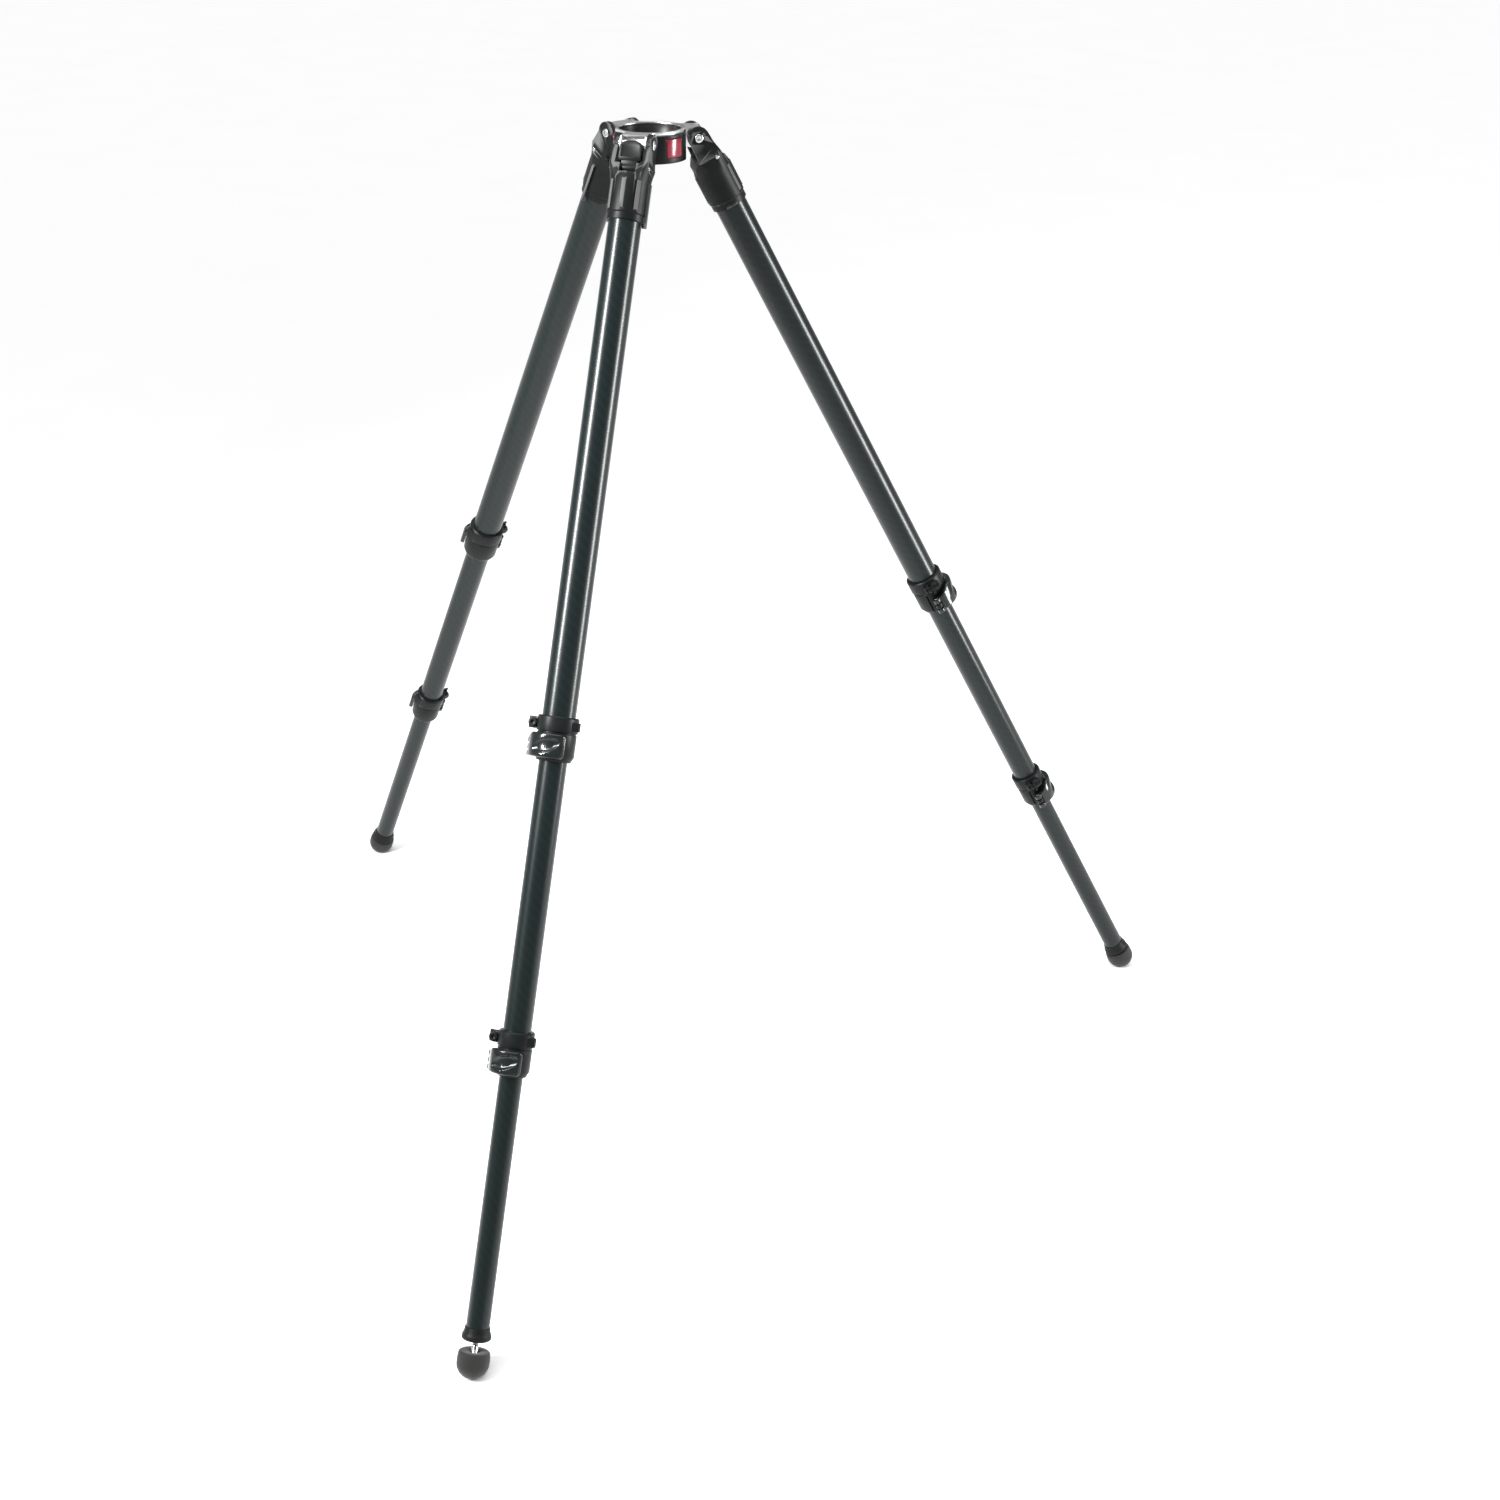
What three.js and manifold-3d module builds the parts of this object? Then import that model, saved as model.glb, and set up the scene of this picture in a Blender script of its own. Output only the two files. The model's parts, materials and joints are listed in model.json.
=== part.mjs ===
import * as THREE from 'three';
import { mergeVertices } from 'three/addons/utils/BufferGeometryUtils.js';
import Module from 'manifold-3d';

// A video tripod: a crown with a 75 mm half-bowl on three alike legs. Each leg is three carbon
// tubes that slide in each other, two flip locks, an angle catch, and a rubber foot on a spindle.
// Millimetres, +Z up. The origin is on the floor, under the middle of the footprint.

// Stance
const SPREAD = 27.9;            // degrees between a leg and the vertical
const LEG_AZIMUTHS = { front: -90, right: 30, left: 150 };
const CLEARANCE = 0.3;          // gap between pieces that touch

// Distances along a leg, measured down from its pivot
const SOCKET_END = 92;
const UPPER_LOCK = 674;
const LOWER_LOCK = 1045;
const FOOT_CENTRE = 1437;
const LOCK_LENGTH = 53;
const LOCK_SHOULDER = 22;       // where the wider tube ends inside a lock

// Tubes: outer radii, and where each one starts
const UPPER_R = 19.75;
const MIDDLE_R = 16.75;
const LOWER_R = 14;
const WALL = 1.3;
const UPPER_TUBE_TOP = 42;
const MIDDLE_TUBE_TOP = 400;
const LOWER_TUBE_TOP = 730;
const ROUND = 16;               // facets round a tube

// Crown
const BOWL_R = 37.5;            // half of the 75 mm half-ball
const BOWL_HOLE_R = 33;
const CROWN_H = 36;
const PLATE_H = 4;
const PIVOT_R = 54.5;           // from the crown's axis to a leg's pivot
const PIVOT_DROP = 11.5;        // from the crown's top face to the pivots
const PRONG_OUT = 16.6;         // outer face of an arm's prongs
const PRONG_IN = 14;
const PRONG_R = 12;
const HUB_R = 6.4;              // barrel round the pivot, between the prongs
const CROWN_ROUND = 30;         // facets round the bowl

// Leg top
const CHEEK_R = 13;
const CHEEK_OUT = 23;
const BRIDGE_TOP = 26;          // solid part of the casting starts here
const SOCKET_R = 23.4;
const BOLT_R = 4;
const BOLT_HEAD_R = 5.2;
const BOLT_SEAT = 21;           // bottom of the heads' counterbores, from the leg's middle
const CATCH_PIN_R = 2.2;
const CATCH_PIN = { out: 9, down: 30 };
const CATCH_W = 27;

// Feet
const FOOT_R = 19.5;
const FOOT_FLAT = 2.5;          // height cut off the ball to stand on
const FOOT_CUP = 13.5;          // from the ball's centre up to the foot's flat top
const SPINDLE_R = 4;
const CAP_END_R = 17.5;
const FRONT_SPINDLE_OUT = 12;   // bare length of the front foot's spindle

const wasm = await Module();
wasm.setup();
const rad = THREE.MathUtils.degToRad;

// ---- solids -------------------------------------------------------------------------------

function solid(geometry) {
  const bare = geometry.clone();
  bare.deleteAttribute('normal');
  bare.deleteAttribute('uv');
  const merged = mergeVertices(bare, 1e-4);
  const points = merged.attributes.position.array;
  const faces = Uint32Array.from(merged.index.array);
  if (signedVolume(points, faces) < 0) {
    for (let i = 0; i < faces.length; i += 3) [faces[i], faces[i + 1]] = [faces[i + 1], faces[i]];
  }
  const mesh = new wasm.Mesh({ numProp: 3, vertProperties: points, triVerts: faces });
  return new wasm.Manifold(mesh);
}

function signedVolume(points, faces) {
  const corner = (i) => new THREE.Vector3().fromArray(points, 3 * faces[i]);
  let sum = 0;
  for (let i = 0; i < faces.length; i += 3) {
    sum += corner(i).dot(corner(i + 1).cross(corner(i + 2)));
  }
  return sum;
}

function geometryOf(manifold) {
  const mesh = manifold.getMesh();
  const geometry = new THREE.BufferGeometry();
  geometry.setAttribute('position', new THREE.BufferAttribute(mesh.vertProperties, 3));
  geometry.setIndex(new THREE.BufferAttribute(mesh.triVerts, 1));
  geometry.computeVertexNormals();
  return geometry;
}

const join = (...pieces) => pieces.reduce((sum, piece) => sum.add(piece));
const cut = (piece, ...tools) => tools.reduce((rest, tool) => rest.subtract(tool), piece);

// A body of revolution about Z from [radius, height] pairs; it closes on itself unless it
// starts and ends on the axis.
function turned(profile, facets = ROUND) {
  const points = profile.map(([r, z]) => new THREE.Vector2(r, z));
  const onAxis = profile[0][0] === 0;
  if (!onAxis) points.push(points[0].clone());
  return solid(new THREE.LatheGeometry(points, facets).rotateX(Math.PI / 2));
}

const ring = (rIn, rOut, z0, z1, facets = ROUND) =>
  turned([[rIn, z0], [rOut, z0], [rOut, z1], [rIn, z1]], facets);

const rod = (r, z0, z1, facets = ROUND) => turned([[0, z0], [r, z0], [r, z1], [0, z1]], facets);

// A rod along Y, through the point (x, z)
const crossRod = (r, x, z, halfLength, facets = 16) =>
  solid(new THREE.CylinderGeometry(r, r, 2 * halfLength, facets).translate(x, 0, z));

const block = (x0, x1, y0, y1, z0, z1) =>
  solid(new THREE.BoxGeometry(x1 - x0, y1 - y0, z1 - z0)
    .translate((x0 + x1) / 2, (y0 + y1) / 2, (z0 + z1) / 2));

// A plate in the XY plane, from z0 to z1
const plate = (shape, z0, z1, curveSegments = 4) =>
  solid(new THREE.ExtrudeGeometry(shape, { depth: z1 - z0, bevelEnabled: false, curveSegments })
    .translate(0, 0, z0));

// A plate whose outline is drawn in the XZ plane, from y0 to y1
const sidePlate = (shape, y0, y1, curveSegments = 4) =>
  solid(new THREE.ExtrudeGeometry(shape, { depth: y1 - y0, bevelEnabled: false, curveSegments })
    .rotateX(Math.PI / 2).translate(0, y1, 0));

// A plate whose outline is drawn in the YZ plane, from x0 to x1
const frontPlate = (shape, x0, x1, curveSegments = 4) =>
  solid(new THREE.ExtrudeGeometry(shape, { depth: x1 - x0, bevelEnabled: false, curveSegments })
    .rotateX(Math.PI / 2).rotateZ(Math.PI / 2).translate(x0, 0, 0));

const outline = (points) => new THREE.Shape(points.map(([x, y]) => new THREE.Vector2(x, y)));

// A sector of a ring about Z, between two angles in degrees
function sector(rIn, rOut, from, to, z0, z1, curveSegments = 6) {
  const shape = new THREE.Shape();
  shape.absarc(0, 0, rOut, rad(from), rad(to), false);
  shape.absarc(0, 0, rIn, rad(to), rad(from), true);
  return plate(shape, z0, z1, curveSegments);
}

// ---- crown (its own frame: Z up, top face at 0) -------------------------------------------

function turnedAbout(manifold, degrees) {
  return manifold.rotate([0, 0, degrees]);
}

// Star outline: three arms with square ends and shallow webs between them
function starShape() {
  const shape = new THREE.Shape();
  const armEnd = PIVOT_R + 7;
  const webRoot = 40;
  const webR = 42;
  Object.values(LEG_AZIMUTHS).sort((a, b) => a - b).forEach((azimuth, index) => {
    const at = (r, side) => new THREE.Vector2(r, side)
      .rotateAround(new THREE.Vector2(), rad(azimuth));
    const start = at(webRoot, -PRONG_OUT);
    if (index === 0) shape.moveTo(start.x, start.y);
    [at(armEnd, -PRONG_OUT), at(armEnd, PRONG_OUT), at(webRoot, PRONG_OUT)]
      .forEach((p) => shape.lineTo(p.x, p.y));
    const middle = new THREE.Vector2(webR, 0).rotateAround(new THREE.Vector2(), rad(azimuth + 60));
    const next = new THREE.Vector2(webRoot, -PRONG_OUT)
      .rotateAround(new THREE.Vector2(), rad(azimuth + 120));
    const leave = at(webRoot - 3, PRONG_OUT + 2);
    const arrive = new THREE.Vector2(webRoot - 3, -PRONG_OUT - 2)
      .rotateAround(new THREE.Vector2(), rad(azimuth + 120));
    shape.quadraticCurveTo(leave.x, leave.y, middle.x, middle.y);
    shape.quadraticCurveTo(arrive.x, arrive.y, next.x, next.y);
  });
  return shape;
}

function bowlCasting() {
  const bossR = BOWL_R + 2;
  const floor = CROWN_H - 4 - CLEARANCE;
  let body = join(plate(starShape(), -PLATE_H, 0), rod(bossR, -floor, -PLATE_H + 1, CROWN_ROUND));
  Object.values(LEG_AZIMUTHS).forEach((azimuth) => {
    body = body.add(turnedAbout(armProngs(), azimuth));
    body = body.subtract(turnedAbout(armNotch(), azimuth));
  });
  const seat = [[0, -floor - 1], [BOWL_HOLE_R, -floor - 1]];
  const steps = 3;
  const seatEnd = Math.acos(BOWL_HOLE_R / BOWL_R);
  for (let i = steps; i >= 0; i -= 1) {
    const angle = seatEnd * i / steps;
    seat.push([BOWL_R * Math.cos(angle), -BOWL_R * Math.sin(angle)]);
  }
  seat.push([BOWL_R, 1], [0, 1]);
  return geometryOf(body.subtract(turned(seat, CROWN_ROUND)));
}

// Both prongs of an arm and the hub between them, the arm pointing along +X
function armProngs() {
  const root = BOWL_R + 1;
  const profile = new THREE.Shape();
  profile.moveTo(root, -1);
  profile.lineTo(root, -PIVOT_DROP - PRONG_R + 2);
  profile.lineTo(PIVOT_R - 4, -PIVOT_DROP - PRONG_R + 0.7);
  profile.absarc(PIVOT_R, -PIVOT_DROP, PRONG_R, rad(-100), rad(35), false);
  profile.lineTo(PIVOT_R + 7, -1);
  const prongs = cut(sidePlate(profile, -PRONG_OUT, PRONG_OUT),
    block(root + 6, PIVOT_R + 20, -PRONG_IN, PRONG_IN, -CROWN_H - 2, 1));
  const web = new THREE.Shape();
  web.moveTo(root, -1);
  web.lineTo(root, -PIVOT_DROP - 5);
  web.lineTo(PIVOT_R, -PIVOT_DROP - HUB_R);
  web.absarc(PIVOT_R, -PIVOT_DROP, HUB_R, rad(-90), rad(33), false);
  web.lineTo(PIVOT_R - 10, -1);
  return cut(join(prongs, sidePlate(web, -PRONG_IN - 1, PRONG_IN + 1)),
    crossRod(BOLT_R + CLEARANCE, PIVOT_R, -PIVOT_DROP, PRONG_OUT + 2));
}

// Room between the prongs for the catch, on every leg angle
function armNotch() {
  const slope = rad(78);
  const reach = 22;
  const edge = [PIVOT_R + HUB_R * Math.cos(slope), -PIVOT_DROP + HUB_R * Math.sin(slope)];
  const top = [edge[0] + reach * Math.cos(slope), edge[1] + reach * Math.sin(slope)];
  const room = outline([edge, [PIVOT_R, -PIVOT_DROP], [PIVOT_R + 20, -PIVOT_DROP - 10],
    [PIVOT_R + 20, top[1]], top]);
  return cut(sidePlate(room, -PRONG_IN, PRONG_IN),
    crossRod(HUB_R, PIVOT_R, -PIVOT_DROP, PRONG_IN + 1));
}

// Black skirt under the plate: a web wall between each pair of arms, on one floor ring
function crownShell() {
  const wallIn = BOWL_R + 2 + CLEARANCE;
  const wallOut = 43.5;
  const floorTop = -CROWN_H + 4;
  let body = join(ring(BOWL_HOLE_R + 0.5, wallIn + 1, -CROWN_H, floorTop, CROWN_ROUND),
    ring(wallIn, wallOut, -CROWN_H, -PLATE_H - CLEARANCE, CROWN_ROUND));
  const innerR = BOWL_R + 0.7;
  Object.values(LEG_AZIMUTHS).forEach((azimuth) => {
    const room = block(innerR, wallOut + 5, -PRONG_OUT - CLEARANCE, PRONG_OUT + CLEARANCE,
      -CROWN_H - 1, 1);
    body = body.subtract(turnedAbout(room, azimuth));
    const pocket = sector(wallOut - 1.6, wallOut + 5, -15.5, 15.5, -CROWN_H + 6, -PLATE_H - 4, 6);
    body = body.subtract(turnedAbout(pocket, azimuth + 60));
  });
  return geometryOf(body);
}

// A blank coloured insert in a web wall's pocket, its middle along +X
function webInsert() {
  const wallOut = 43.5;
  return geometryOf(sector(wallOut - 1.6 + CLEARANCE, wallOut + 0.8, -15, 15,
    -CROWN_H + 6 + CLEARANCE, -PLATE_H - 4 - CLEARANCE, 6));
}

// ---- leg (leg frame: origin at the pivot, +X outward, +Z back up the leg) ------------------

function legTop() {
  const side = new THREE.Shape();
  const shoulder = 48;
  side.moveTo(-21, -shoulder);
  side.lineTo(20, -shoulder);
  side.lineTo(CHEEK_R + 4, -BRIDGE_TOP);
  side.absarc(0, 0, CHEEK_R, rad(-20), rad(200), false);
  side.lineTo(-CHEEK_R, -BRIDGE_TOP + 1);
  side.lineTo(-21, -BRIDGE_TOP - 8);
  const waist = 24.3;
  const front = outline([[-CHEEK_OUT, CHEEK_R + 1], [-CHEEK_OUT, -16], [-waist, -34],
    [-waist, -shoulder - 1], [waist, -shoulder - 1], [waist, -34], [CHEEK_OUT, -16],
    [CHEEK_OUT, CHEEK_R + 1]]);
  const envelope = turned([[0, 20], [60, 20], [60, -2], [31, -14], [SOCKET_R + 2, -36],
    [SOCKET_R, -shoulder], [0, -shoulder]]);
  const fork = sidePlate(side, -CHEEK_OUT - 1, CHEEK_OUT + 1)
    .intersect(frontPlate(front, -24, 24)).intersect(envelope);
  const socket = turned([[0, -34], [SOCKET_R - 2.5, -34], [SOCKET_R, -44], [SOCKET_R, -SOCKET_END + 6],
    [SOCKET_R - 0.8, -SOCKET_END + 5], [SOCKET_R - 0.8, -SOCKET_END], [0, -SOCKET_END]]);
  const fin = block(-1.8, 1.8, SOCKET_R - 2, SOCKET_R + 3.2, -SOCKET_END - 5, -46);
  const slotHalf = PRONG_OUT + CLEARANCE;
  return geometryOf(cut(join(fork, socket, fin),
    block(-30, 30, -slotHalf, slotHalf, -BRIDGE_TOP, 20),
    block(3, 30, -CATCH_W / 2 + 3.2, CATCH_W / 2 - 3.2, -CATCH_PIN.down - 7, -BRIDGE_TOP + 1),
    rod(UPPER_R + CLEARANCE, -SOCKET_END - 6, -UPPER_TUBE_TOP + CLEARANCE),
    crossRod(BOLT_R + 0.2, 0, 0, CHEEK_OUT + 2),
    cut(crossRod(BOLT_HEAD_R + 1, 0, 0, CHEEK_OUT + 2), crossRod(9, 0, 0, BOLT_SEAT)),
    crossRod(CATCH_PIN_R + 0.15, CATCH_PIN.out, -CATCH_PIN.down, CHEEK_OUT + 2, 12)));
}

function pivotBolt() {
  const head = BOLT_SEAT + CLEARANCE;
  const thickness = 3.2;
  const bolt = join(crossRod(BOLT_R, 0, 0, head + 1),
    cut(crossRod(BOLT_HEAD_R, 0, 0, head + thickness), crossRod(9, 0, 0, head)));
  const socket = (sign) => solid(new THREE.CylinderGeometry(2.4, 2.4, 2, 6)
    .translate(0, sign * (head + thickness), 0));
  return geometryOf(cut(bolt, socket(1), socket(-1)));
}

const catchPin = () =>
  geometryOf(crossRod(CATCH_PIN_R, CATCH_PIN.out, -CATCH_PIN.down, 24.8, 12));

// Block that a finger pulls out to let the leg past its stop; its tail turns on the catch pin
function angleCatch() {
  const half = CATCH_W / 2;
  const face = new THREE.Shape();
  face.moveTo(-half, -22.5);
  face.lineTo(half, -22.5);
  face.lineTo(half, -6);
  face.absellipse(0, -6, half, 7, 0, Math.PI, false);
  const side = outline([[7, -23], [13.4, -23], [15.2, -19], [14, 3], [7, 3]]);
  const nose = frontPlate(face, 6, 16, 10).intersect(sidePlate(side, -half - 1, half + 1));
  const tailHalf = half - 3.2 - CLEARANCE;
  const tail = join(block(5, 13, -tailHalf, tailHalf, -CATCH_PIN.down, -21),
    crossRod(5, CATCH_PIN.out, -CATCH_PIN.down, tailHalf, 16));
  return geometryOf(cut(join(nose, tail),
    crossRod(CATCH_PIN_R + 0.15, CATCH_PIN.out, -CATCH_PIN.down, half, 12)));
}

const tube = (r, top, bottom) => geometryOf(ring(r - WALL, r, -bottom, -top));

// Slide bush on the top end of an inner tube, running in the next tube out
function glide(rTube, rOuterTube, top) {
  const outside = rOuterTube - WALL - CLEARANCE;
  return geometryOf(turned([[rTube - WALL, -top + CLEARANCE], [rTube + CLEARANCE, -top + CLEARANCE],
    [rTube + CLEARANCE, -top - 18], [outside, -top - 18], [outside, -top + 3],
    [rTube - WALL, -top + 3]]));
}

// ---- flip lock (its own frame: origin on the tube's axis at the lock's top, +Z up the leg) --

const HINGE_ANGLE = -95;        // round the tube from outward, towards the leg's other side
const LEVER_ANGLE = 42;
const LEVER_TOP = -21;
const LEVER_BOTTOM = -49.5;
const KNUCKLE_TOP = -28;        // the lever is lower at its hinge
const LUG = { top: -34, bottom: -43.5 };
const LEVER_PIN_R = 1.9;

const hingeRadius = (rWide) => rWide + 10.5;
const bandRadius = (rWide) => rWide + 4.6;

function lockHinge(rWide) {
  const r = hingeRadius(rWide);
  return [r * Math.cos(rad(HINGE_ANGLE)), r * Math.sin(rad(HINGE_ANGLE))];
}

function lockCollar(rWide, rNarrow) {
  const band = bandRadius(rWide);
  const shell = turned([[rNarrow - 1, -LOCK_LENGTH], [rNarrow + 3.2, -LOCK_LENGTH],
    [band - 0.8, -LOCK_LENGTH + 7], [band - 0.8, -20], [band, -18], [band, -1.6],
    [band - 1.4, 0], [rNarrow - 1, 0]]);
  const lug = lockLug(rWide, 0);
  const earAxis = rWide + 8;
  const ear = join(crossRod(6.5, 0, 0, 7.5).rotate([0, 0, 90]).translate([0, -earAxis, -10]),
    block(-7.5, 7.5, -earAxis, -rWide + 3, -16.5, -3.5));
  const earSplit = block(-1, 1, -earAxis - 8, -rWide - 4.6, -17, -3);
  const boss = plate(outline([[rWide + 1, -9], [rWide + 10, -2.5], [rWide + 10, 1.5],
    [rWide + 1, 9]]), -15.5, -5).rotate([0, 0, 78]);
  const bores = join(rod(rWide + CLEARANCE, -LOCK_SHOULDER, 2), rod(rNarrow + CLEARANCE, -60, 2));
  const bandSplit = block(rNarrow - 2, band + 2, -1, 1, -60, LEVER_TOP - 1)
    .rotate([0, 0, HINGE_ANGLE - 24]);
  return geometryOf(cut(join(shell, lug, ear, boss), earSplit, bores, bandSplit,
    rod(LEVER_PIN_R + 0.1, -70, 5, 12).translate([...lockHinge(rWide), 0])));
}

// The collar's knuckle, or with a gap the room it needs in the lever
function lockLug(rWide, gap) {
  const bottom = LUG.bottom - gap;
  const top = LUG.top + gap;
  return join(rod(5 + gap, bottom, top, 12),
    block(0, rWide - 3, -5 - gap, 5 + gap, bottom, top).rotate([0, 0, HINGE_ANGLE + 180]))
    .translate([...lockHinge(rWide), 0]);
}

function lockLever(rWide) {
  const inside = bandRadius(rWide) + 0.6;
  const outside = inside + 6.2;
  const hinge = [...lockHinge(rWide), 0];
  const arm = sector(inside, outside, HINGE_ANGLE + 8, LEVER_ANGLE, LEVER_BOTTOM, LEVER_TOP);
  const thumb = sector(outside - 3, outside + 3, LEVER_ANGLE - 75, LEVER_ANGLE - 12,
    LEVER_BOTTOM + 6, LEVER_TOP - 6);
  const barrel = rod(5, LEVER_BOTTOM, KNUCKLE_TOP, 12).translate(hinge);
  const collarRoom = rod(bandRadius(rWide) + CLEARANCE, LEVER_BOTTOM - 1, LEVER_TOP + 1, 24);
  const lowCorner = block(-60, 13, -60, -9, KNUCKLE_TOP, LEVER_TOP + 1);
  return geometryOf(cut(join(arm, barrel), thumb, collarRoom, lowCorner, lockLug(rWide, 0.4),
    rod(LEVER_PIN_R + 0.1, LEVER_BOTTOM - 1, LEVER_TOP + 1, 12).translate(hinge)));
}

const leverPin = (rWide) => geometryOf(
  rod(LEVER_PIN_R, LEVER_BOTTOM - 0.8, KNUCKLE_TOP + 0.8, 12).translate([...lockHinge(rWide), 0]));

// ---- foot (leg frame) -----------------------------------------------------------------------

const FOOT_TOP = FOOT_CENTRE - FOOT_CUP;

function endCap(end) {
  const z = -end;
  return geometryOf(cut(
    turned([[0, z - 1.5], [SPINDLE_R + 2.5, z - 1.5], [CAP_END_R - 1.5, z], [CAP_END_R, z + 1.5],
      [CAP_END_R, z + 5.5], [LOWER_R + 1.2, z + 11], [LOWER_R + 0.9, z + 15], [0, z + 15]]),
    ring(LOWER_R - WALL - CLEARANCE, LOWER_R + CLEARANCE, z + 4, z + 26),
    rod(SPINDLE_R + 0.4, z - 2, z + 26, 12)));
}

function footSpindle() {
  const z = -FOOT_TOP;
  return geometryOf(turned([[0, z - 14], [SPINDLE_R, z - 14], [SPINDLE_R, z + 34],
    [0, z + 34]], 12));
}

// Half ball under a short drum with a flat top, and a small level flat to stand on
function rubberFoot() {
  const centre = -FOOT_CENTRE;
  const profile = [[0, -FOOT_TOP], [FOOT_R - 2.5, -FOOT_TOP], [FOOT_R - 0.6, -FOOT_TOP - 2.2],
    [FOOT_R, centre + 5]];
  const steps = 5;
  for (let i = 0; i < steps; i += 1) {
    const angle = Math.PI / 2 * i / steps;
    profile.push([FOOT_R * Math.cos(angle), centre - FOOT_R * Math.sin(angle)]);
  }
  profile.push([0, centre - FOOT_R]);
  const size = 60;
  const ground = block(-size, size, -size, size, -size, -FOOT_R + FOOT_FLAT)
    .rotate([0, SPREAD, 0]).translate([0, 0, centre]);
  return geometryOf(cut(turned(profile), ground,
    rod(SPINDLE_R + CLEARANCE, -FOOT_TOP - 14.5, -FOOT_TOP + 2, 12)));
}

// ---- finishes -------------------------------------------------------------------------------

const finish = (color, roughness, metalness) =>
  new THREE.MeshStandardMaterial({ color, roughness, metalness });
const SILVER = finish(0xc9ccce, 0.3, 1);
const STEEL = finish(0xb5b8ba, 0.25, 1);
const BLACK = finish(0x15181a, 0.5, 0.2);
const CARBON = finish(0x39444a, 0.35, 0.3);
const PLASTIC = finish(0x101214, 0.45, 0);
const RUBBER = finish(0x0b0c0d, 0.85, 0);
const RED = finish(0xb3202c, 0.4, 0);

function named(name, geometry, material) {
  const mesh = new THREE.Mesh(geometry, material);
  mesh.name = name;
  return mesh;
}

// ---- assembly -------------------------------------------------------------------------------

function lockPieces(leg, level, rWide, rNarrow, down) {
  const group = new THREE.Group();
  group.position.z = -down;
  group.add(
    named(`${leg}_${level}_lock_collar`, lockCollar(rWide, rNarrow), PLASTIC),
    named(`${leg}_${level}_lock_lever`, lockLever(rWide), PLASTIC),
    named(`${leg}_${level}_lever_pin`, leverPin(rWide), STEEL));
  return group;
}

function legGroup(leg, azimuth) {
  const spindleOut = leg === 'front' ? FRONT_SPINDLE_OUT : 0;
  const capEnd = FOOT_TOP - 1.5 - CLEARANCE - spindleOut;
  const lowerTop = LOWER_TUBE_TOP - spindleOut;
  const group = new THREE.Group();
  group.add(
    named(`${leg}_leg_top`, legTop(), BLACK),
    named(`${leg}_pivot_bolt`, pivotBolt(), STEEL),
    named(`${leg}_angle_catch`, angleCatch(), PLASTIC),
    named(`${leg}_catch_pin`, catchPin(), STEEL),
    named(`${leg}_upper_tube`, tube(UPPER_R, UPPER_TUBE_TOP, UPPER_LOCK + LOCK_SHOULDER - 0.5), CARBON),
    named(`${leg}_middle_tube`, tube(MIDDLE_R, MIDDLE_TUBE_TOP, LOWER_LOCK + LOCK_SHOULDER - 0.5), CARBON),
    named(`${leg}_lower_tube`, tube(LOWER_R, lowerTop, capEnd - 4 - CLEARANCE), CARBON),
    named(`${leg}_middle_glide`, glide(MIDDLE_R, UPPER_R, MIDDLE_TUBE_TOP), PLASTIC),
    named(`${leg}_lower_glide`, glide(LOWER_R, MIDDLE_R, lowerTop), PLASTIC),
    lockPieces(leg, 'upper', UPPER_R, MIDDLE_R, UPPER_LOCK),
    lockPieces(leg, 'lower', MIDDLE_R, LOWER_R, LOWER_LOCK),
    named(`${leg}_end_cap`, endCap(capEnd), PLASTIC),
    named(`${leg}_foot_spindle`, footSpindle(), STEEL),
    named(`${leg}_rubber_foot`, rubberFoot(), RUBBER));
  group.position.x = PIVOT_R;
  group.rotation.y = -rad(SPREAD);
  const turnedGroup = new THREE.Group();
  turnedGroup.add(group);
  turnedGroup.rotation.z = rad(azimuth);
  return turnedGroup;
}

function crownGroup() {
  const group = new THREE.Group();
  group.position.z = PIVOT_DROP;
  group.add(named('bowl_casting', bowlCasting(), SILVER), named('crown_shell', crownShell(), BLACK));
  Object.entries(LEG_AZIMUTHS).forEach(([leg, azimuth]) => {
    const insert = named(`${leg}_web_insert`, webInsert(), RED);
    insert.rotation.z = rad(azimuth + 60);
    group.add(insert);
  });
  return group;
}

const footRadius = PIVOT_R + FOOT_CENTRE * Math.sin(rad(SPREAD));
const pivotHeight = FOOT_CENTRE * Math.cos(rad(SPREAD)) + FOOT_R - FOOT_FLAT;

const tripod = new THREE.Group();
tripod.name = 'tripod';
tripod.add(crownGroup());
Object.entries(LEG_AZIMUTHS).forEach(([leg, azimuth]) => tripod.add(legGroup(leg, azimuth)));
tripod.position.set(0, footRadius / 4, pivotHeight);

export default tripod;
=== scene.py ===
"""A video tripod in carbon fibre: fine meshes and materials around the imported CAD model."""
import json
import math

import bmesh
import bpy
from mathutils import Matrix, Vector


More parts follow.
